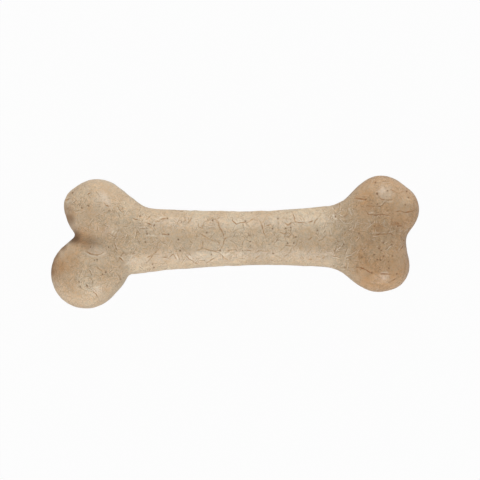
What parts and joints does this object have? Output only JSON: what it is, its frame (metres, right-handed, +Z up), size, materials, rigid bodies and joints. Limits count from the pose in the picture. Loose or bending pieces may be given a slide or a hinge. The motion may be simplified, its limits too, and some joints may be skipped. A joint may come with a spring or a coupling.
{
  "type": "dog chew bone",
  "caption": "Thigh-bone-shaped dog chew: a waisted shaft whose anchored ends carry two-lobed knuckles, a broad one and a narrow one, with a crackled bone-like skin.",
  "frame": {"origin": "centre of the bounding box's underside, on the surface that the bone lies on", "axes": "+X along the bone from the broad knuckle to the narrow one, +Y across the lobes, +Z up from the lands"},
  "size_m": [0.1902, 0.0666, 0.0385],
  "materials": {
    "pale_compound": "satin, crackled, cream to grey-tan",
    "tan_compound": "satin, smoother and browner than the shaft, with fine creases and pits"
  },
  "bodies": {
    "root": {"shaft": "pale_compound", "broad_knuckle": "tan_compound", "narrow_knuckle": "tan_compound"}
  },
  "joints": []
}
